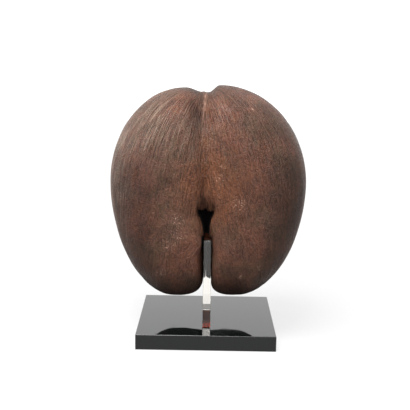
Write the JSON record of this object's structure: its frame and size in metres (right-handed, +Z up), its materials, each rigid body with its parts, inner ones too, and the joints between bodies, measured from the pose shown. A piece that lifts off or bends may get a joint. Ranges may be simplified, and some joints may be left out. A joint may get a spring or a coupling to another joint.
{
  "type": "coco de mer nut on a display stand",
  "caption": "Two-lobed palm nut with a fused upper body, front furrow and crotch slot, hung astride a clear upright slab on a black square base.",
  "frame": {"origin": "centre of the base block's underside, on the surface that the object stands on", "axes": "+Z up from the base through the nut, +X to the right lobe as seen from the front, -Y towards the front, where the shallow furrow and the crotch's pocket are"},
  "size_m": [0.2625, 0.1822, 0.3334],
  "materials": {
    "nut_husk": "hard fibrous brown shell, semi-matte from handling, with fine lengthwise fibres",
    "clear_acrylic": "clear cast acrylic with polished edges",
    "black_acrylic": "polished black acrylic"
  },
  "bodies": {
    "root": {"nut": "nut_husk", "upright": "clear_acrylic", "base": "black_acrylic"}
  },
  "joints": []
}
